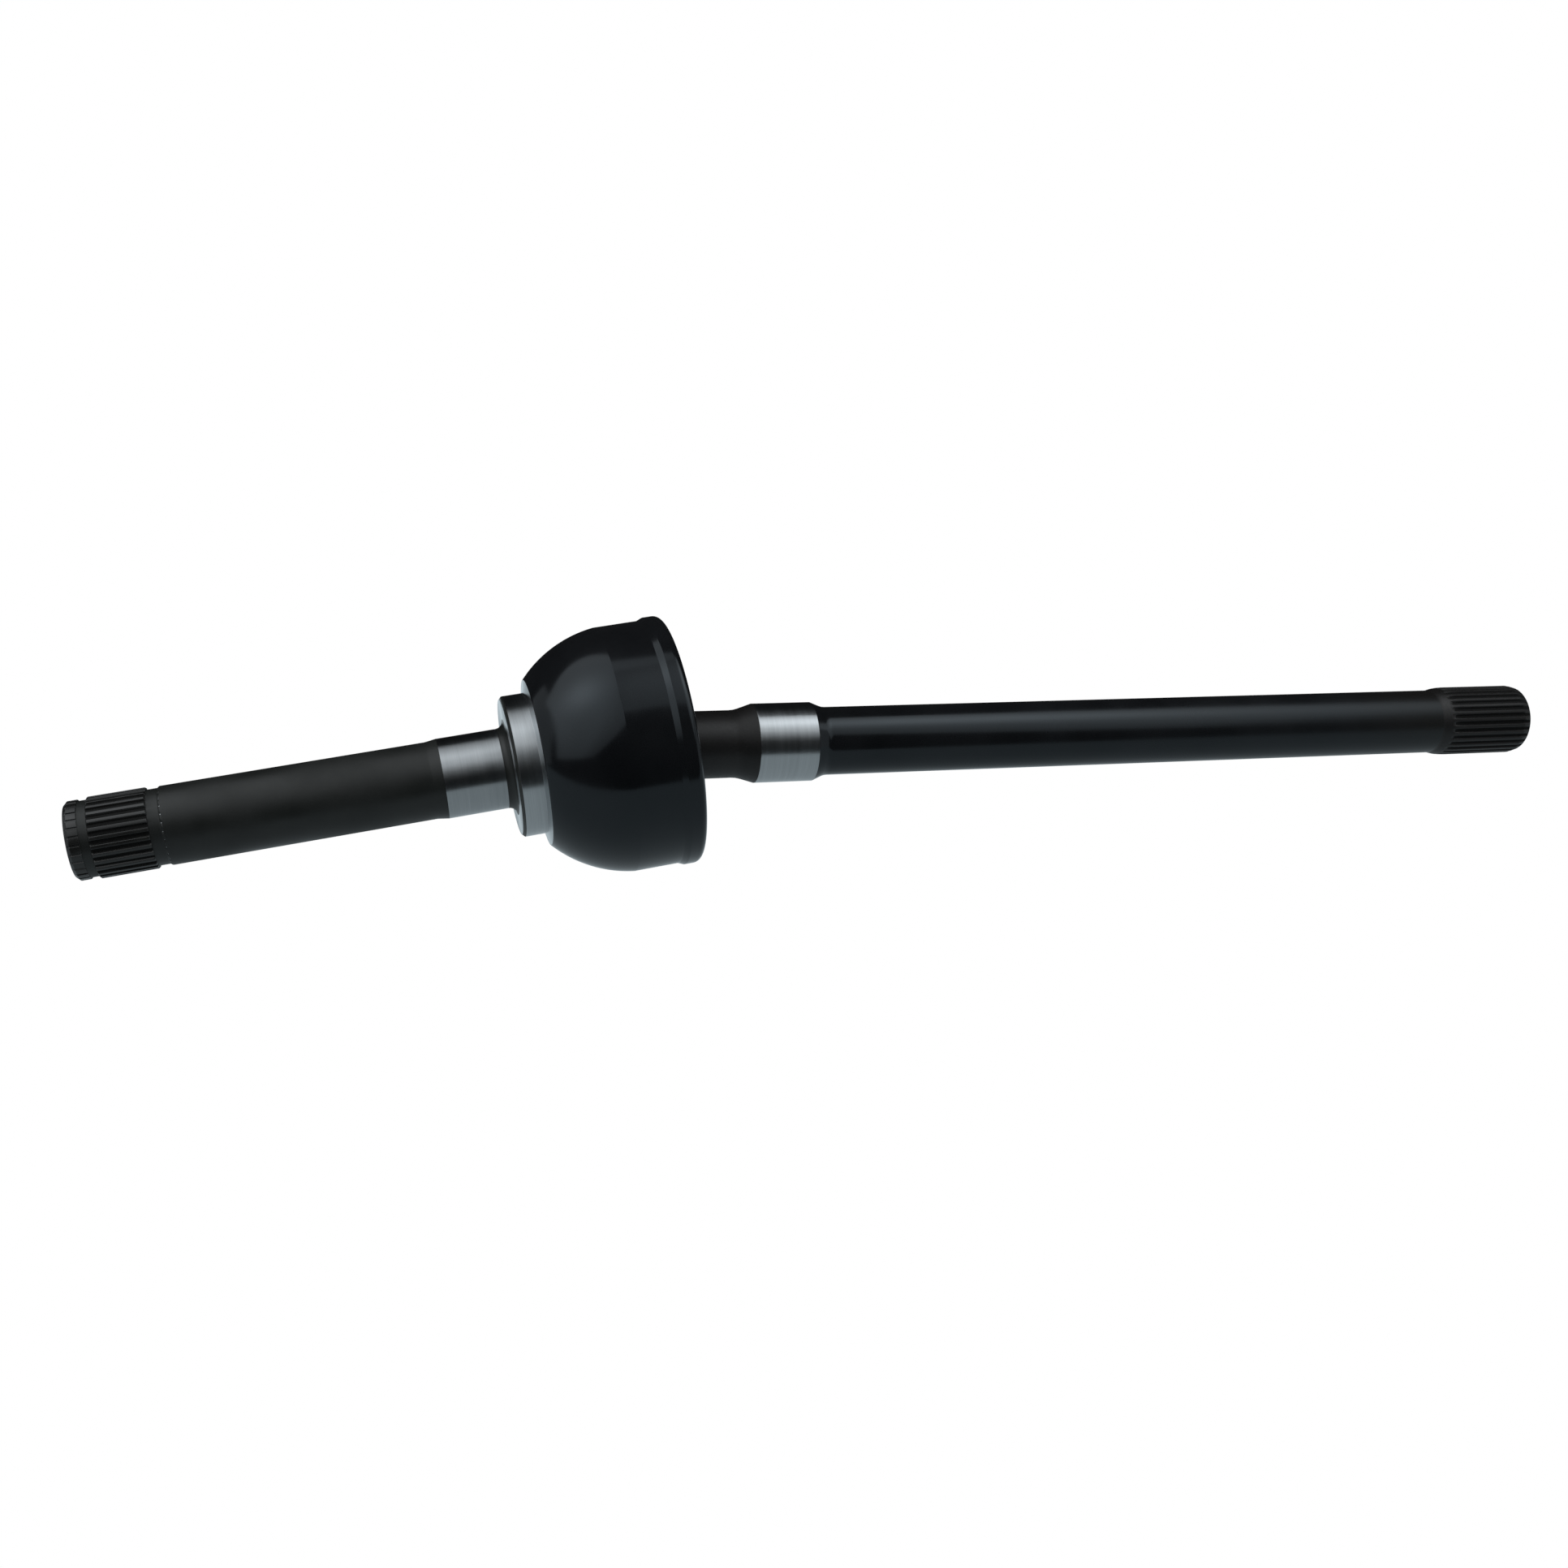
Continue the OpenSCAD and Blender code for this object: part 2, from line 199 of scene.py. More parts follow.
def put(finish, kind, inputs=None, stops=(), **settings):
    """Adds a node: inputs holds a value, or (node, output) for a link, for each socket, and stops
    holds (place, colour) for each end of a colour ramp."""
    node = finish.node_tree.nodes.new("ShaderNode" + kind)
    for key, value in settings.items():
        setattr(node, key, value)
    for key, value in (inputs or {}).items():
        if isinstance(value, tuple) and isinstance(value[0], bpy.types.Node):
            finish.node_tree.links.new(value[0].outputs[value[1]], node.inputs[key])
        else:
            node.inputs[key].default_value = value
    for k, (place, code) in enumerate(stops):
        node.color_ramp.elements[k].position = place
        node.color_ramp.elements[k].color = linear(code)
    return node


def new_finish(name):
    finish = bpy.data.materials.new(name)
    finish.use_nodes = True
    finish.node_tree.nodes.clear()
    return finish


# Hot black oxide over a turned surface, oiled dry: a soft neutral black with a satin sheen. Fine
# turning rings, drawn 0.35 mm apart, faint patches 14 mm across where the salt bath took more or
# less, and slow changes of sheen, some 45 mm long, where the oil dried unevenly.
satin_black_oxide = new_finish("satin_black_oxide_on_turned_steel")
where = put(satin_black_oxide, "TexCoord")
along = put(satin_black_oxide, "Mapping", {"Vector": (where, "Object"), "Scale": (2860, 40, 40)})
rings = put(satin_black_oxide, "TexNoise", {"Vector": (along, "Vector"), "Scale": 1.0,
                                            "Detail": 2.0})
patches = put(satin_black_oxide, "TexNoise", {"Vector": (where, "Object"), "Scale": 70.0,
                                              "Detail": 4.0, "Roughness": 0.6})
tone = put(satin_black_oxide, "ValToRGB", {"Fac": (patches, "Fac")},
           stops=((0.3, "#1f211f"), (0.75, "#2b2d2b")))
drying = put(satin_black_oxide, "TexNoise", {"Vector": (where, "Object"), "Scale": 22.0,
                                             "Detail": 2.0})
sheen = put(satin_black_oxide, "MapRange", {"Value": (drying, "Fac"), "From Min": 0.35,
                                            "From Max": 0.65, "To Min": 0.3, "To Max": 0.58})
relief = put(satin_black_oxide, "Bump", {"Height": (rings, "Fac"), "Strength": 0.12,
                                         "Distance": 0.0001})
surface = put(satin_black_oxide, "BsdfPrincipled", {
    "Base Color": (tone, "Color"), "Roughness": (sheen, "Result"), "IOR": 1.52,
    "Normal": (relief, "Normal")})
put(satin_black_oxide, "OutputMaterial", {"Surface": (surface, "BSDF")})

# The same black oxide on a polished and oiled surface: a deep blue-black gloss, with a whisper of
# polishing rings 0.5 mm apart, and slow patches of thicker film, some 22 mm across.
gloss_black_oxide = new_finish("oiled_black_oxide_on_polished_steel")
where = put(gloss_black_oxide, "TexCoord")
along = put(gloss_black_oxide, "Mapping", {"Vector": (where, "Object"), "Scale": (2000, 25, 25)})
rings = put(gloss_black_oxide, "TexNoise", {"Vector": (along, "Vector"), "Scale": 1.0,
                                            "Detail": 2.0})
patches = put(gloss_black_oxide, "TexNoise", {"Vector": (where, "Object"), "Scale": 45.0,
                                              "Detail": 3.0})
tone = put(gloss_black_oxide, "ValToRGB", {"Fac": (patches, "Fac")},
           stops=((0.3, "#17181a"), (0.75, "#202123")))
sheen = put(gloss_black_oxide, "MapRange", {"Value": (patches, "Fac"), "From Min": 0.3,
                                            "From Max": 0.7, "To Min": 0.12, "To Max": 0.17})
# The long shaft loses its polish slowly towards its far end, and over its last 60 mm the film
# turns browner too. The places are metres from the joint centre. The Mix node has a socket A, B
# and Result for every kind of data, so those of the colours are given by number.
apart = put(gloss_black_oxide, "SeparateXYZ", {"Vector": (where, "Object")})
browned = put(gloss_black_oxide, "MapRange", {"Value": (apart, "X"), "From Min": 0.32,
                                              "From Max": 0.38}, interpolation_type="SMOOTHSTEP")
dulled = put(gloss_black_oxide, "MapRange", {"Value": (apart, "X"), "From Min": 0.05,
                                             "From Max": 0.38, "To Min": 0.0, "To Max": 0.2})
sheen = put(gloss_black_oxide, "Math", {0: (sheen, "Result"), 1: (dulled, "Result")})
tone = put(gloss_black_oxide, "Mix", {"Factor": (browned, "Result"), 6: (tone, "Color"),
                                      7: linear("#211f1d")}, data_type="RGBA")
relief = put(gloss_black_oxide, "Bump", {"Height": (rings, "Fac"), "Strength": 0.04,
                                         "Distance": 0.0001})
surface = put(gloss_black_oxide, "BsdfPrincipled", {
    "Base Color": (tone, 2), "Roughness": (sheen, "Value"), "IOR": 1.5,
    "Specular Tint": (0.82, 0.93, 1.0, 1.0), "Normal": (relief, "Normal")})
put(gloss_black_oxide, "OutputMaterial", {"Surface": (surface, "BSDF")})

# Black oxide over hobbed teeth: a neutral black, smooth enough that every tooth edge catches a
# thin line of light, with the film thinner and greyer in spots some 9 mm across.
hobbed_black_oxide = new_finish("black_oxide_on_hobbed_teeth")
where = put(hobbed_black_oxide, "TexCoord")
spots = put(hobbed_black_oxide, "TexNoise", {"Vector": (where, "Object"), "Scale": 110.0,
                                             "Detail": 2.0})
tone = put(hobbed_black_oxide, "ValToRGB", {"Fac": (spots, "Fac")},
           stops=((0.35, "#1f1f1e"), (0.75, "#2a2a28")))
sheen = put(hobbed_black_oxide, "MapRange", {"Value": (spots, "Fac"), "From Min": 0.3,
                                             "From Max": 0.7, "To Min": 0.2, "To Max": 0.3})
surface = put(hobbed_black_oxide, "BsdfPrincipled", {
    "Base Color": (tone, "Color"), "Roughness": (sheen, "Result"), "IOR": 1.62})
put(hobbed_black_oxide, "OutputMaterial", {"Surface": (surface, "BSDF")})

# Painted shade for the floors of the tooth spaces: a dull, nearly black finish that darkens them
# as shade in a recess would, with a mottle 3 mm across.
tooth_space_painted_shade = new_finish("painted_shade_in_tooth_spaces")
where = put(tooth_space_painted_shade, "TexCoord")
shade_mottle = put(tooth_space_painted_shade, "TexNoise", {"Vector": (where, "Object"), "Scale": 300.0,
                                           "Detail": 2.0})
tone = put(tooth_space_painted_shade, "ValToRGB", {"Fac": (shade_mottle, "Fac")},
           stops=((0, "#0b0b0a"), (1, "#151514")))
surface = put(tooth_space_painted_shade, "BsdfPrincipled", {
    "Base Color": (tone, "Color"), "Roughness": 0.6, "IOR": 1.3})
put(tooth_space_painted_shade, "OutputMaterial", {"Surface": (surface, "BSDF")})


# Cylindrically ground steel, 0.4 Ra: bright grey with hair-fine rings, drawn 0.15 mm apart. The
# grooves run round the shaft, so a highlight smears along it and stays crisp around it. Light,
# slow bands, 2.4 mm apart, come from the wheel's own chatter.
def ground_finish(name, dark, light, low, high):
    finish = new_finish(name)
    where = put(finish, "TexCoord")
    along = put(finish, "Mapping", {"Vector": (where, "Object"), "Scale": (6600, 60, 60)})
    rings = put(finish, "TexNoise", {"Vector": (along, "Vector"), "Scale": 1.0, "Detail": 2.0})
    wide = put(finish, "Mapping", {"Vector": (where, "Object"), "Scale": (420, 14, 14)})
    chatter = put(finish, "TexNoise", {"Vector": (wide, "Vector"), "Scale": 1.0, "Detail": 2.0})
    both = put(finish, "Math", {0: (rings, "Fac"), 1: (chatter, "Fac")}, operation="MULTIPLY")
    tone = put(finish, "ValToRGB", {"Fac": (both, "Value")},
               stops=((0.1, dark), (0.42, light)))
    sheen = put(finish, "MapRange", {"Value": (chatter, "Fac"), "From Min": 0.3, "From Max": 0.7,
                                     "To Min": low, "To Max": high})
    relief = put(finish, "Bump", {"Height": (rings, "Fac"), "Strength": 0.004, "Distance": 0.0001})
    around = put(finish, "Tangent", direction_type="RADIAL", axis="X")
    surface = put(finish, "BsdfPrincipled", {
        "Base Color": (tone, "Color"), "Metallic": 1.0, "Roughness": (sheen, "Result"),
        "Anisotropic": 0.9, "Anisotropic Rotation": 0.25, "Tangent": (around, "Tangent"),
        "Normal": (relief, "Normal")})
    put(finish, "OutputMaterial", {"Surface": (surface, "BSDF")})
    return finish


ground_steel = ground_finish("cylindrically_ground_steel", "#bcc0c2", "#cdd1d3", 0.28, 0.33)

# The spindle journal is ground too, and keeps a grey film of preserving oil that dulls it.
oiled_ground_steel = ground_finish("oil_filmed_ground_steel", "#afb3b5", "#c2c5c7", 0.3, 0.35)

# The last finish is painted shade for the floors of the tooth spaces.
outer_finishes = [satin_black_oxide, gloss_black_oxide, ground_steel, oiled_ground_steel,
                  hobbed_black_oxide, tooth_space_painted_shade]
SATIN, GLOSS, GROUND, OILED, HOBBED, PAINTED_SHADE = range(len(outer_finishes))
outer = Turning()
# Lathe centre, end face and the grazed land outside the snap ring groove. Each ring of the land
# has its place and how far below the land's top it is cut back.
outer.cut(lathe_centre(-STUB_TIP, 1) + [(-STUB_TIP, LAND_R - TIP_CHAMFER, 0)],
          SATIN, AROUND_CENTRE)
SLOT_DEPTH = LAND_R - LAND_ROOT_R
CHAMFER_END = -STUB_TIP + TIP_CHAMFER
for x, drop in ((-STUB_TIP + EASE, TIP_CHAMFER - 1.6 * EASE),
                (CHAMFER_END - SLOT_DEPTH, SLOT_DEPTH),
                (CHAMFER_END - EASE, 0.8 * EASE), (CHAMFER_END + EASE, 0),
                (-LAND_START - BREAK, 0), (-LAND_START, BREAK)):
    outer.add(toothed_ring(x, HUB_TEETH, LAND_ROOT_R, LAND_R, LAND_TOOTH, LAND_R - drop), HOBBED)
outer.cut([(-LAND_START, GROOVE_R, 0), (-HUB_OUT, GROOVE_R, 0)], SATIN)
# Hub spline. A light chamfer breaks its ends: distance from the end, drop below the tooth tips.
OUT_CHAMFER = ((0, 0.45), (0.35, 0.06), (0.5, 0))
IN_CHAMFER = ((0.5, 0), (0.35, 0.06), (0, 0.35))
# Past the end wall, the floors of the tooth spaces get painted shade.
for x, drop in ([(-HUB_OUT + away, drop) for away, drop in OUT_CHAMFER]
                + [(-HUB_IN - away, drop) for away, drop in IN_CHAMFER]):
    outer.add(toothed_ring(x, HUB_TEETH, HUB_ROOT_R, HUB_R, TOOTH, HUB_R - drop),
              HOBBED if x == -HUB_OUT else with_painted_shade_floors(HOBBED, PAINTED_SHADE))
# Run-out groove and the shoulder of the stub shaft, nicked by the hob at every tooth space. The
# nicks are given as share of the pitch and depth. Bare steel shows in each.
WALL_FOOT, WALL_FILLET, WALL_TOP, WALL_RISE = 0.5, 0.3, 0.2, 0.35
SHOULDER_BREAK, SHOULDER_BREAK_LEN, SHOULDER_LAND = 0.15, 0.35, 0.6
NICK_DEPTH = 0.22
NICK = [(-0.5, NICK_DEPTH), (-0.42, NICK_DEPTH), (-0.4, 0), (0, 0), (0.4, 0), (0.42, NICK_DEPTH)]
outer.cut([(-HUB_IN, GROOVE_R, 0), (-SHOULDER - WALL_FOOT, GROOVE_R, WALL_FILLET),
           (-SHOULDER - WALL_TOP, GROOVE_R + WALL_RISE, 0)], SATIN)
outer.add([(-SHOULDER, STUB_R - SHOULDER_BREAK - depth, (t + share) * math.tau / HUB_TEETH)
           for t in range(HUB_TEETH) for share, depth in NICK], SATIN)
outer.add([(-SHOULDER + SHOULDER_BREAK_LEN, STUB_R, (t + share) * math.tau / HUB_TEETH)
           for t in range(HUB_TEETH) for share, _ in NICK],
          lambda face: OILED if face % len(NICK) == 0 else SATIN)
outer.cut([(-SHOULDER + SHOULDER_LAND, STUB_R, 0),
           (-SPINDLE_END - SPINDLE_TAPER, STUB_R, TAPER_FILLET),
           (-SPINDLE_END, SPINDLE_R, 0)], SATIN)
# Ground journal, black fillet, ground thrust face, black chamfer, ground flange and back face.
FILLET_STEPS = 8
outer.cut([(-SPINDLE_END + EDGE, SPINDLE_R, 0), (-THRUST_FACE - SPINDLE_FILLET, SPINDLE_R, 0)],
          OILED)
outer.cut(arc(-THRUST_FACE - SPINDLE_FILLET, SPINDLE_R + SPINDLE_FILLET, SPINDLE_FILLET,
              -80, 0, FILLET_STEPS), SATIN)
outer.cut([(-THRUST_FACE, FLANGE_R - FLANGE_CHAMFER, 0)], GROUND)
outer.cut([(-THRUST_FACE + FLANGE_CHAMFER, FLANGE_R, 0)], SATIN)
BACK_FACE_R = math.sqrt(DOME_R ** 2 - BELL_BACK ** 2)
BACK_BREAK, BACK_BREAK_LEN = 0.3, 0.06
outer.cut([(-THRUST_FACE + FLANGE_CHAMFER + EASE, FLANGE_R, 0), (-FLANGE_ROOT, FLANGE_R, EDGE),
           (-BELL_BACK - BACK_BREAK_LEN, BACK_FACE_R - BACK_BREAK, 0)], GROUND)
# Bell: domed back, cylinder, stepped lip with a rounded rim, and the faced mouth.
DOME_STEPS, RIM_STEPS = 36, 10
dome_start = math.degrees(math.acos(-BELL_BACK / DOME_R))
dome_end = 180 - math.degrees(math.asin(BELL_R / DOME_R))
dome = arc(0, 0, DOME_R, dome_start, dome_end, DOME_STEPS)
MOUTH_FACE = 0.4
outer.cut(dome + [(dome[-1][0] + EDGE, BELL_R, 0), (0, BELL_R, 0), (LIP_STEP, BELL_R, EDGE),
                  (LIP_STEP + LIP_STEP_LEN, LIP_R, EDGE)]
          + arc(MOUTH - RIM_R, LIP_R - RIM_R, RIM_R, 90, 0, RIM_STEPS)
          + [(MOUTH, FLARE_R + MOUTH_FACE, 0)], GLOSS)

# Inside of the bell, from the mouth to the bottom, as distances from the joint centre: a flared
# opening, the cage's spherical seat and six curved ball tracks with their wheel run-outs. A turn
# is measured from the axis on the mouth's side, and off is measured round it from a track.
FLARE_START_R = math.sqrt(SEAT_R ** 2 - FLARE_START ** 2)
FLARE_SLOPE = (FLARE_R - FLARE_START_R) / (MOUTH - FLARE_START)
UNDER_SEAT, BEYOND_TRACKS = SEAT_R - 1.5, 52.0    # the track's wall lies between these
HALVINGS = 40


def seat_reach(turn):
    """Distance from the joint centre to the flared mouth or, further in, the cage's seat."""
    if turn < math.atan2(FLARE_START_R, FLARE_START):
        return ((FLARE_START_R - FLARE_START * FLARE_SLOPE)
                / (math.sin(turn) - FLARE_SLOPE * math.cos(turn)))
    return SEAT_R


def last_true(low, high, test):
    """How far from low to high the test holds, found by halving, or low if it never does."""
    for _ in range(HALVINGS):
        middle = (low + high) / 2
        low, high = (middle, high) if test(middle) else (low, middle)
    return low


def track_reach(turn, off):
    """Distance from the joint centre to the track's wall, or to under the seat outside a track."""
    def within(reach):
        x, y = reach * math.cos(turn) - TRACK_OFFSET, reach * math.sin(turn) * math.cos(off)
        z = reach * math.sin(turn) * math.sin(off)
        return (math.hypot(x, y) - TRACK_R) ** 2 + z * z <= TRACK_BORE ** 2
    return last_true(UNDER_SEAT, BEYOND_TRACKS, within)


RUN_OUT_START, RUN_OUT_END = math.radians(128), math.radians(139)
NARROWEST, WIDEST = math.radians(4), math.radians(29)    # half of a track, round the axis
MOUTH_TURN, BOTTOM_TURN, TURN_STEPS = math.atan2(FLARE_R, MOUTH), math.radians(176), 70
TRACK_POINTS = 26
WEB_POINTS = AROUND // BALLS - TRACK_POINTS
# One ring for each turn. The tracks fade out over the run-out, and keep their width there. The
# first ring lies in the mouth's face.
for step in range(TURN_STEPS + 1):
    turn = MOUTH_TURN + (BOTTOM_TURN - MOUTH_TURN) * step / TURN_STEPS
    seat = seat_reach(turn)
    left = min(1, max(0, (RUN_OUT_END - turn) / (RUN_OUT_END - RUN_OUT_START)))
    depth_left = left * left * (3 - 2 * left)
    if turn < RUN_OUT_START:
        half = max(last_true(0, WIDEST, lambda off: track_reach(turn, off) > seat), NARROWEST)
    web = math.tau / BALLS - 2 * half
    section = [-half + 2 * half * k / TRACK_POINTS for k in range(TRACK_POINTS + 1)]
    section = [(off, seat + depth_left * max(0, track_reach(turn, off) - seat)) for off in section]
    section += [(half + web * k / WEB_POINTS, seat) for k in range(1, WEB_POINTS)]
    ring = [(MOUTH if step == 0 else reach * math.cos(turn), reach * math.sin(turn),
             (ball + 0.5) * math.tau / BALLS + off)
            for ball in range(BALLS) for off, reach in section]
    ring = ring[-WEB_POINTS // 2:] + ring[:-WEB_POINTS // 2]    # it starts between two tracks
    outer.add(ring, GLOSS if step == 0 else SATIN)
outer.add([(-SEAT_R, 0, 0)], SATIN)
outer_race = outer.piece("outer_race_and_stub_shaft", outer_finishes)
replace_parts(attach(outer_race, "outer_half"), "outer_race_stub_shaft")

# ---------------------------------------------------------------------------------------------
# Ball cage. A ring of case-hardened steel with six windows, guided between the two races. It is
# manganese-phosphated and oiled, so it is a matt charcoal inside the bell.
# ---------------------------------------------------------------------------------------------
# Manganese phosphate: fine dark crystals, drawn 0.4 mm across, that scatter most of the light,
# with stains 8 mm across.
phosphated_steel = new_finish("manganese_phosphated_steel")
where = put(phosphated_steel, "TexCoord")
crystals = put(phosphated_steel, "TexVoronoi", {"Vector": (where, "Object"), "Scale": 2500.0})
stains = put(phosphated_steel, "TexNoise", {"Vector": (where, "Object"), "Scale": 120.0,
                                            "Detail": 4.0})
tone = put(phosphated_steel, "ValToRGB", {"Fac": (stains, "Fac")},
           stops=((0, "#2c2d2e"), (1, "#47494a")))
relief = put(phosphated_steel, "Bump", {"Height": (crystals, "Distance"), "Strength": 0.25,
                                        "Distance": 0.0002})
surface = put(phosphated_steel, "BsdfPrincipled", {
    "Base Color": (tone, "Color"), "Roughness": 0.55, "Metallic": 0.35,
    "Normal": (relief, "Normal")})
put(phosphated_steel, "OutputMaterial", {"Surface": (surface, "BSDF")})
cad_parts["ball_cage"].material_slots[0].material = phosphated_steel

# ---------------------------------------------------------------------------------------------
# Inner race. A star of case-hardened steel with six tracks, splined onto the shaft. It is ground
# all over, so it takes the ground steel of the outer race's flange.
# ---------------------------------------------------------------------------------------------
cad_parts["inner_race"].material_slots[0].material = ground_steel

# ---------------------------------------------------------------------------------------------
# Balls. Six bearing balls of chrome steel, all alike, hardened, ground and lapped. They lie in
# the cage's windows, each between a track of the bell and one of the inner race.
# ---------------------------------------------------------------------------------------------
# Lapped bearing steel: a near mirror, with a film of oil in patches 7 mm across and the faint grey
# of the lapping.
lapped_bearing_steel = new_finish("lapped_chrome_bearing_steel")
where = put(lapped_bearing_steel, "TexCoord")
film = put(lapped_bearing_steel, "TexNoise", {"Vector": (where, "Object"), "Scale": 150.0,
                                              "Detail": 3.0})
tone = put(lapped_bearing_steel, "ValToRGB", {"Fac": (film, "Fac")},
           stops=((0, "#b4b8ba"), (1, "#dadde0")))
sheen = put(lapped_bearing_steel, "MapRange", {"Value": (film, "Fac"), "From Min": 0.3,
                                               "From Max": 0.7, "To Min": 0.06, "To Max": 0.14})
surface = put(lapped_bearing_steel, "BsdfPrincipled", {
    "Base Color": (tone, "Color"), "Metallic": 1.0, "Roughness": (sheen, "Result")})
put(lapped_bearing_steel, "OutputMaterial", {"Surface": (surface, "BSDF")})
for number in range(1, BALLS + 1):
    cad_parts[f"ball_{number}"].material_slots[0].material = lapped_bearing_steel

# ---------------------------------------------------------------------------------------------
# Retaining rings. A flat stop ring inboard of the race and a round-wire circlip at the shaft's
# nose, both of spring steel, blued by the heat of tempering and snapped into grooves in the shaft.
# ---------------------------------------------------------------------------------------------
# Blued spring steel: rolled, hardened and tempered, a dark grey-blue with a dull metal shine and
# temper colours that shift every 5 mm.
blued_spring_steel = new_finish("blued_spring_steel")
where = put(blued_spring_steel, "TexCoord")
temper = put(blued_spring_steel, "TexNoise", {"Vector": (where, "Object"), "Scale": 200.0,
                                              "Detail": 3.0})
tone = put(blued_spring_steel, "ValToRGB", {"Fac": (temper, "Fac")},
           stops=((0, "#3c4148"), (1, "#5d646c")))
surface = put(blued_spring_steel, "BsdfPrincipled", {
    "Base Color": (tone, "Color"), "Metallic": 0.9, "Roughness": 0.32})
put(blued_spring_steel, "OutputMaterial", {"Surface": (surface, "BSDF")})
for ring_name in ("stop_ring", "retaining_circlip"):
    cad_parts[ring_name].material_slots[0].material = blued_spring_steel

# ---------------------------------------------------------------------------------------------
# Inner axle shaft. Turned from one forged bar: race spline, neck, ground seal journal, long shaft
# and hobbed differential spline. Blackened all over, and only the seal journal is ground bright.
# ---------------------------------------------------------------------------------------------
REST_BEND = 7.8    # degrees below the line of the stub shaft
INNER_TIP = 431.0
RACE_SPLINE_R, RACE_ROOT_R, RACE_TEETH = 14.3, 13.4, 27
RACE_GROOVE_R, RACE_END_BREAK = 12.8, 0.3
NOSE_TIP, NOSE_CHAMFER = -18.7, 1.5
CIRCLIP_IN, CIRCLIP_OUT = -13.5, -15.7
STOP_OUT, STOP_IN = 11.5, 13.3
NECK_R, NECK_END, NECK_FILLET, NECK_TAPER = 14.5, 46.0, 2.0, 7.9
SEAL_R, SEAL_LEN, SEAL_TAPER = 17.05, 25.7, 5.3
SEAL_START = NECK_END + NECK_TAPER
SEAL_END = SEAL_START + SEAL_LEN
SHAFT_START = SEAL_END + SEAL_TAPER
SHAFT_R, SHAFT_FILLET, SHAFT_END, SHOULDER_LEN, SHOULDER_RISE = 14.75, 1.5, 385.0, 6.0, 1.15
DIFF_TEETH, DIFF_R, DIFF_ROOT_R = 29, 16.0, 15.0
DIFF_IN = 391.0
RUN_OUT_LEN, RUN_OUT_STEPS = 5.0, 20

# Black oxide over the shaft's rougher, as-heat-treated stretches: matt brown-black with a fine
# scale, drawn 0.8 mm across, patches of thinner film 17 mm across, and hardly any shine.
matt_black_oxide = new_finish("black_oxide_on_heat_treated_steel")
where = put(matt_black_oxide, "TexCoord")
scale_grain = put(matt_black_oxide, "TexNoise", {"Vector": (where, "Object"), "Scale": 1250.0,
                                                 "Detail": 3.0})
patches = put(matt_black_oxide, "TexNoise", {"Vector": (where, "Object"), "Scale": 60.0,
                                             "Detail": 4.0, "Roughness": 0.65})
tone = put(matt_black_oxide, "ValToRGB", {"Fac": (patches, "Fac")},
           stops=((0.3, "#181716"), (0.75, "#232120")))
sheen = put(matt_black_oxide, "MapRange", {"Value": (scale_grain, "Fac"), "From Min": 0.3,
                                           "From Max": 0.7, "To Min": 0.4, "To Max": 0.5})
relief = put(matt_black_oxide, "Bump", {"Height": (scale_grain, "Fac"), "Strength": 0.1,
                                        "Distance": 0.0002})
surface = put(matt_black_oxide, "BsdfPrincipled", {
    "Base Color": (tone, "Color"), "Roughness": (sheen, "Result"), "IOR": 1.53,
    "Normal": (relief, "Normal")})
put(matt_black_oxide, "OutputMaterial", {"Surface": (surface, "BSDF")})

# The last finish is painted shade for the floors of the tooth spaces.
inner_finishes = [matt_black_oxide, gloss_black_oxide, ground_steel, tooth_space_painted_shade]
MATT, GLOSS, GROUND, PAINTED_SHADE = range(len(inner_finishes))
inner = Turning()
# Lathe centre, nose, circlip groove, race spline, stop ring groove and neck.
inner.cut(lathe_centre(NOSE_TIP, 1)
          + [(NOSE_TIP, RACE_ROOT_R - NOSE_CHAMFER, EASE),
             (NOSE_TIP + NOSE_CHAMFER, RACE_ROOT_R, EASE),
             (CIRCLIP_OUT, RACE_ROOT_R, EASE), (CIRCLIP_OUT, RACE_GROOVE_R, 0),
             (CIRCLIP_IN, RACE_GROOVE_R, 0)], MATT, AROUND_CENTRE)
for x, drop in ((CIRCLIP_IN, RACE_END_BREAK), (CIRCLIP_IN + RACE_END_BREAK, 0),
                (STOP_OUT - RACE_END_BREAK, 0), (STOP_OUT, RACE_END_BREAK)):
    inner.add(toothed_ring(x, RACE_TEETH, RACE_ROOT_R, RACE_SPLINE_R, TOOTH, RACE_SPLINE_R - drop),
              MATT)
inner.cut([(STOP_OUT, RACE_GROOVE_R, 0), (STOP_IN, RACE_GROOVE_R, 0), (STOP_IN, NECK_R, BREAK),
           (NECK_END, NECK_R, NECK_FILLET), (SEAL_START, SEAL_R, 0)], MATT)
# Ground seal journal, the taper after it and the long shaft, polished almost to its shoulder.
SEAL_EDGE, POLISH_STOP = 0.5, 1
inner.cut([(SEAL_START + SEAL_EDGE, SEAL_R, 0), (SEAL_END, SEAL_R, 0)], GROUND)
inner.cut([(SEAL_END + EASE, SEAL_R - EASE / 2, 0), (SHAFT_START, SHAFT_R, SHAFT_FILLET),
           (SHAFT_END - POLISH_STOP, SHAFT_R, 0)], GLOSS)
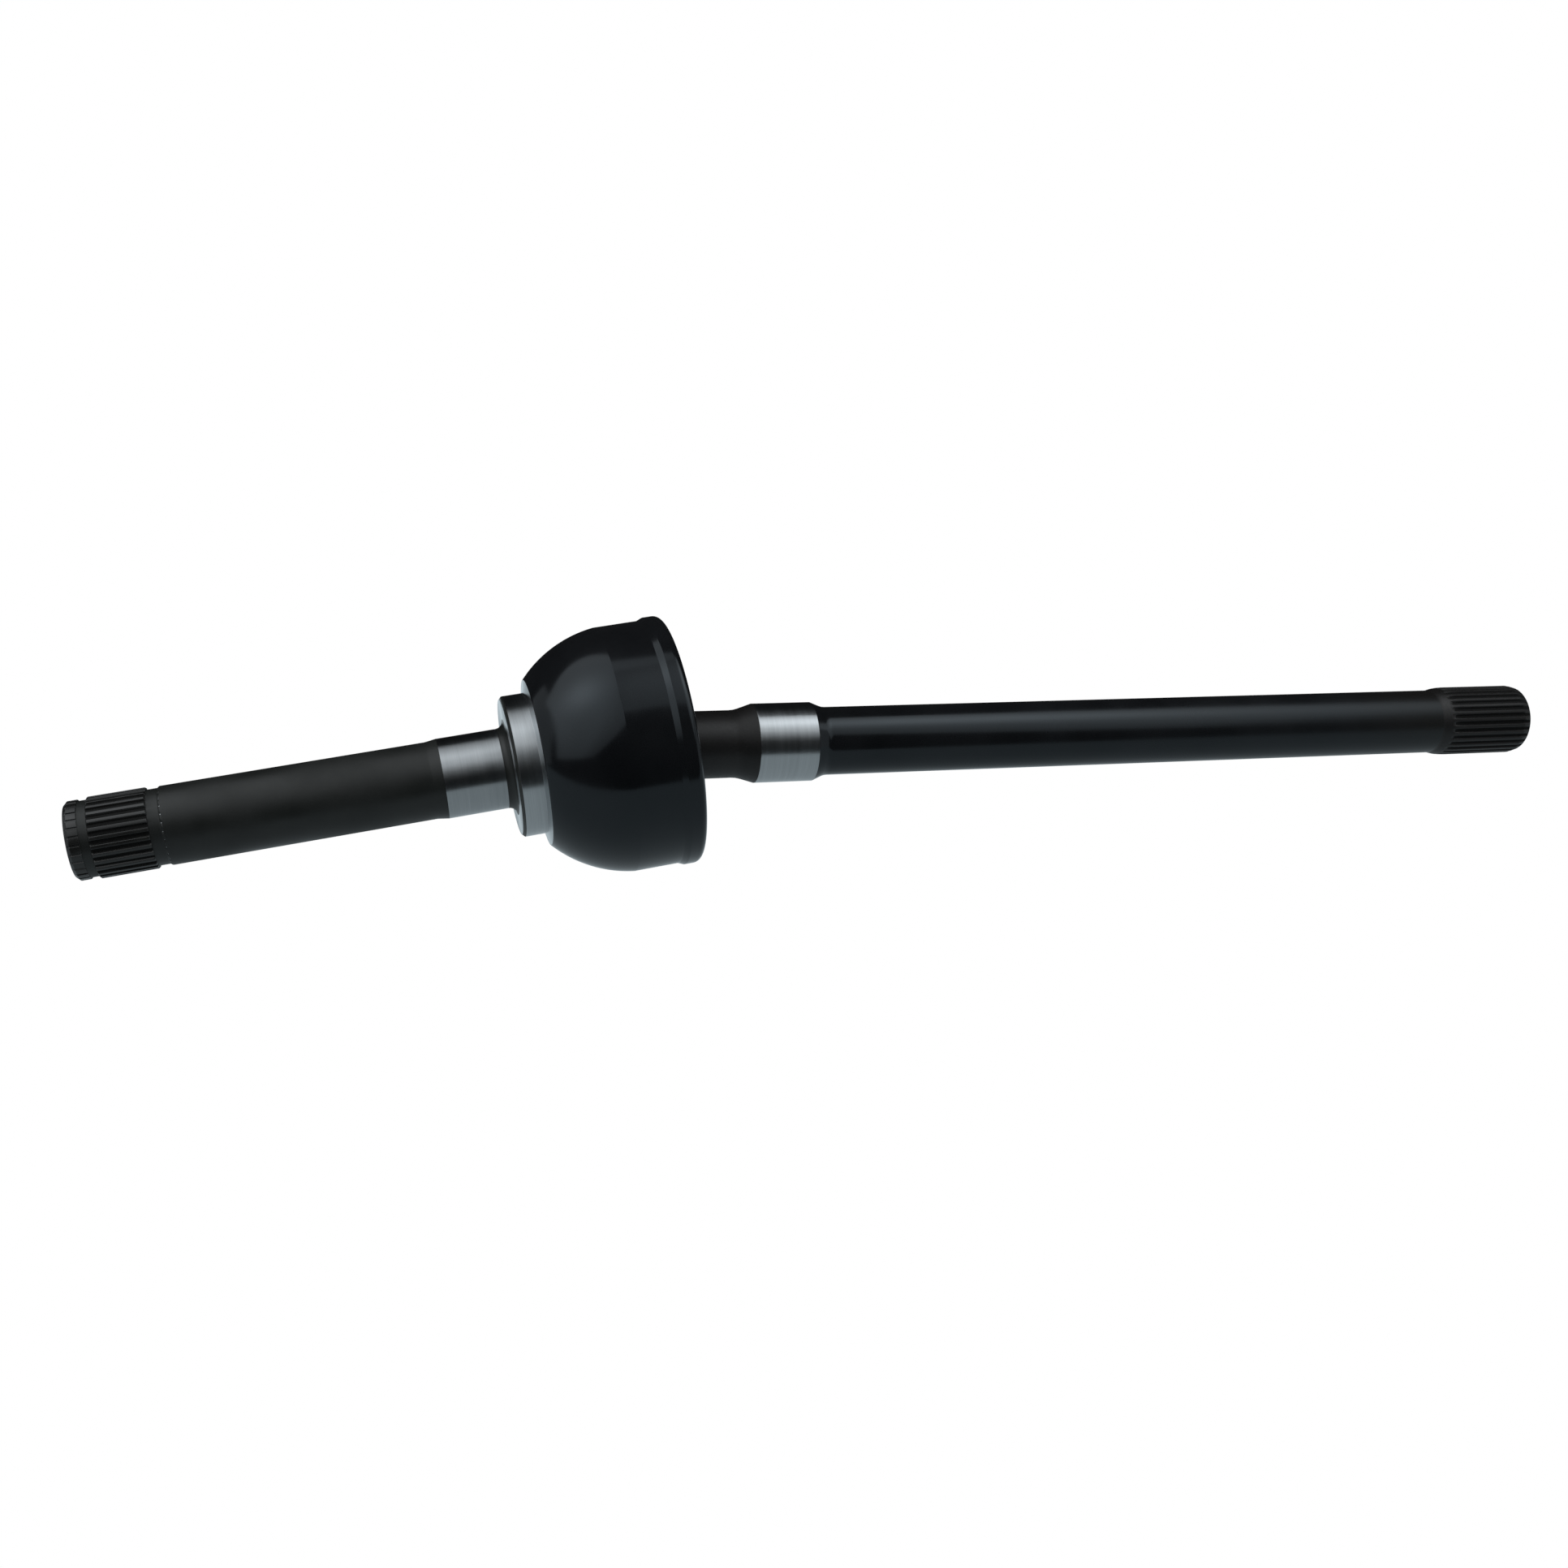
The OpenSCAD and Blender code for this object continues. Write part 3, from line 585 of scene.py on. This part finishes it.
# Hob run-out: the shoulder rises in a quarter wave and then hardly at all, while each tooth space
# sinks on the hob's own radius, from where it meets the shoulder down to the spline's root.
SPACE_LEN, SPACE_RISE, SPACE_FLAT_AT = 6.5, 0.85, DIFF_IN + 3.5
LAND_TAPER = 0.05
# Painted shade darkens the floors of the tooth spaces from 1 mm short of the spline to its end.
PAINTED_SHADE_FROM = DIFF_IN - 1
for step in range(RUN_OUT_STEPS + 1):
    x = SHAFT_END + (SHOULDER_LEN + RUN_OUT_LEN) * step / RUN_OUT_STEPS
    up_shoulder = min(1, (x - SHAFT_END) / SHOULDER_LEN)
    land = SHAFT_R + SHOULDER_RISE * math.sin(math.radians(90 * up_shoulder))
    land = min(DIFF_R, land + LAND_TAPER * max(0, x - DIFF_IN))
    space = min(land, DIFF_ROOT_R + SPACE_RISE * max(0, (SPACE_FLAT_AT - x) / SPACE_LEN) ** 2)
    inner.add(toothed_ring(x, DIFF_TEETH, space, land, TOOTH),
              MATT if x < PAINTED_SHADE_FROM else with_painted_shade_floors(MATT, PAINTED_SHADE))
# Spline teeth up to the long chamfer, given as distance from the end face and drop below the tooth
# tips, then the end face and the lathe centre.
for away, drop in ((3.9, 0), (3.5, 0.03), (3.0, 0.17), (0.25, 0.94)):
    inner.add(toothed_ring(INNER_TIP - away, DIFF_TEETH, DIFF_ROOT_R, DIFF_R, TOOTH, DIFF_R - drop),
              with_painted_shade_floors(MATT, PAINTED_SHADE))
inner.cut([(INNER_TIP, DIFF_ROOT_R - EDGE, 0)] + lathe_centre(INNER_TIP, -1)[::-1],
          MATT, AROUND_CENTRE)
inner_shaft = inner.piece("inner_axle_shaft_splined", inner_finishes)
inner_shaft.rotation_euler = (0, math.radians(REST_BEND), 0)
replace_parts(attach(inner_shaft, "inner_half"), "inner_axle_shaft")

# ---------------------------------------------------------------------------------------------
# Studio. The part lies over a plain white floor in a dim room, lit by two large cloth panels
# above and in front, a small one beyond each end and the white table's glow. The camera stands
# about 0.75 m away and a little above. Sizes are in metres and angles in degrees.
# ---------------------------------------------------------------------------------------------
LENS, SENSOR = 40.5, 36.0    # millimetres
CAMERA_AT = Vector((-0.1063, -0.7292, 0.1289))
CAMERA_TURN = Euler([math.radians(a) for a in (78.1176, 7.1777, -14.7374)])
lens = bpy.data.cameras.new("studio_camera")
lens.lens, lens.sensor_width = LENS, SENSOR
lens.clip_start, lens.clip_end = 0.01, 30
camera = bpy.data.objects.new("studio_camera", lens)
bpy.context.scene.collection.objects.link(camera)
camera.matrix_world = Matrix.LocRotScale(CAMERA_AT, CAMERA_TURN, None)
bpy.context.scene.camera = camera
bpy.context.scene.view_settings.view_transform = "Standard"

# A plain white floor, level in the way the part lies and low enough for the inner shaft to swing
# down to its limit. Only the camera sees it: the light that it throws back is the table glow.
FLOOR_TILT = math.radians(7.4193)
FLOOR_DROP, FLOOR_HALF = 0.32, 6
DOWN = Vector((-math.sin(FLOOR_TILT), 0, -math.cos(FLOOR_TILT)))
white_floor = new_finish("plain_white_floor")
glow = put(white_floor, "Emission", {"Color": linear("#ffffff"), "Strength": 1.0})
put(white_floor, "OutputMaterial", {"Surface": (glow, "Emission")})
floor_mesh = bpy.data.meshes.new("floor")
floor_mesh.from_pydata([(x * FLOOR_HALF, y * FLOOR_HALF, 0)
                        for x, y in ((-1, -1), (1, -1), (1, 1), (-1, 1))], [], [(0, 1, 2, 3)])
floor_mesh.materials.append(white_floor)
floor = bpy.data.objects.new("floor", floor_mesh)
bpy.context.scene.collection.objects.link(floor)
floor.matrix_world = Matrix.LocRotScale(DOWN * FLOOR_DROP, DOWN.to_track_quat("-Z", "Y"), None)
floor.visible_glossy = floor.visible_diffuse = floor.visible_shadow = False

camera_back = CAMERA_TURN.to_matrix() @ Vector((0, 0, 1))
level_back = (camera_back - DOWN * camera_back.dot(DOWN)).normalized()
level_right = level_back.cross(DOWN)


def towards(height, side):
    """A direction: height in degrees from the horizon on the camera's side, over the top, and
    side in degrees to the right."""
    h, s = math.radians(height), math.radians(side)
    return ((level_back * math.cos(h) - DOWN * math.sin(h)) * math.cos(s)
            + level_right * math.sin(s))


def soft_panel(name, points, across, brightness, tint):
    """A stretched cloth panel, a grid of points with so many across, lit unevenly from behind.
    Only the part sees it, not the camera."""
    faces = [(k, k + 1, k + 1 + across, k + across) for k in range(len(points) - across)
             if (k + 1) % across]
    mesh = bpy.data.meshes.new(name)
    mesh.from_pydata(points, [], faces)
    glow = mesh.attributes.new("glow", "FLOAT", "POINT")
    glow.data.foreach_set("value", brightness)
    cloth = new_finish(name + "_cloth")
    lamp = put(cloth, "Attribute", attribute_name="glow")
    shine = put(cloth, "Emission", {"Color": linear(tint), "Strength": (lamp, "Fac")})
    put(cloth, "OutputMaterial", {"Surface": (shine, "Emission")})
    mesh.materials.append(cloth)
    made = bpy.data.objects.new(name, mesh)
    bpy.context.scene.collection.objects.link(made)
    made.visible_camera = made.visible_shadow = False


GRID = 16    # points each way on a hung panel
LAMP_SPREAD = (15, 16)    # degrees over which a lamp's light fades, up and sideways


def hung_panel(name, target, distance, corners, lift, belly, lamp, edge, middle, hot,
               full, spent, loss):
    """A panel hung round a target. corners are (height, side) as seen from the target: lower left,
    lower right, upper left and upper right. lift raises the middle of the upper edge, and belly
    pushes out the right edge. lamp is the (height, side) of the lamp behind the cloth. edge, middle
    and hot are the brightness at the lower edge, further up and added by the lamp. Across the
    panel nothing of it is lost at the share full of the width, and loss is at the share spent."""
    points, brightness = [], []
    for row in range(GRID):
        for column in range(GRID):
            u, v = column / (GRID - 1), row / (GRID - 1)
            height, side = (
                (corners[0][k] * (1 - u) + corners[1][k] * u) * (1 - v)
                + (corners[2][k] * (1 - u) + corners[3][k] * u) * v for k in (0, 1))
            height += lift * math.sin(math.pi * u ** 0.75) ** 2 * v * v
            side += belly * math.sin(math.pi * v) * u * u
            points.append(target + towards(height, side) * distance)
            away = math.hypot((height - lamp[0]) / LAMP_SPREAD[0],
                              (side - lamp[1]) / LAMP_SPREAD[1])
            rising = edge + (middle - edge) * math.sin(math.pi * v * 0.8)
            fading = 1 - loss * min(1, max(0, (u - full) / (spent - full)))
            brightness.append(rising * fading + hot * math.exp(-away * away))
    soft_panel(name, points, GRID, brightness, "#f6fbff")


# Two lit panels hang over the bench, one to the left of the bell and one over the long shaft, with
# a dark gap between them, low in front.
hung_panel("left_panel", Vector((0, 0, 0)), 1.0, ((-8, -60), (0, -25), (92, -62), (90, 16)),
           lift=18, belly=18, lamp=(64, -33),
           edge=0.42, middle=0.85, hot=0.9, full=0.66, spent=0.9, loss=0.4)
hung_panel("right_panel", Vector((0.19, 0, -0.026)), 0.8,
           ((50, -14), (14, 48), (78, -14), (104, 62)), lift=8, belly=0, lamp=(74, 22),
           edge=0.38, middle=0.85, hot=1.15, full=0.28, spent=0.03, loss=0.6)
# The white table throws light back. Each row has its distance towards the camera and its
# brightness, which grows away from the camera.
TABLE_HALF, TABLE_LIFT = 4.3, 0.005
TABLE_ROWS = ((0.57, 0.32), (0.13, 0.32), (-0.13, 0.34), (-0.32, 0.39), (-0.53, 0.47),
              (-0.8, 0.62), (-2.1, 0.88), (-5.0, 0.88))
points = [DOWN * (FLOOR_DROP - TABLE_LIFT) + level_back * near + level_right * TABLE_HALF * end
          for near, _ in TABLE_ROWS for end in (-1, 1)]
soft_panel("table_glow", points, 2, [glow for _, glow in TABLE_ROWS for _ in range(2)], "#e9f8ff")
# A small panel beyond each end lights the end faces and the inside of the bell.
END_PANEL_AWAY, END_PANEL_HALF, END_PANEL_UP, END_PANEL_GLOW = 1.8, 0.75, 0.6, 0.3
for name, end in (("left_end_panel", -1), ("right_end_panel", 1)):
    points = [level_right * end * END_PANEL_AWAY + level_back * END_PANEL_HALF * near
              - DOWN * END_PANEL_HALF * (up + END_PANEL_UP) for up in (-1, 1) for near in (-1, 1)]
    soft_panel(name, points, 2, [END_PANEL_GLOW] * len(points), "#f6fbff")

# The camera sees white beyond the floor, and the part sees a dim room.
world = bpy.data.worlds.new("dim_room")
bpy.context.scene.world = world
world.use_nodes = True
world.node_tree.nodes.clear()
seen = put(world, "LightPath")
white = put(world, "Background", {"Color": linear("#ffffff"), "Strength": 1.0})
dim = put(world, "Background", {"Color": linear("#eef4fa"), "Strength": 0.01})
room = put(world, "MixShader", {0: (seen, "Is Camera Ray"), 1: (dim, "Background"),
                                2: (white, "Background")})
put(world, "OutputWorld", {"Surface": (room, "Shader")})
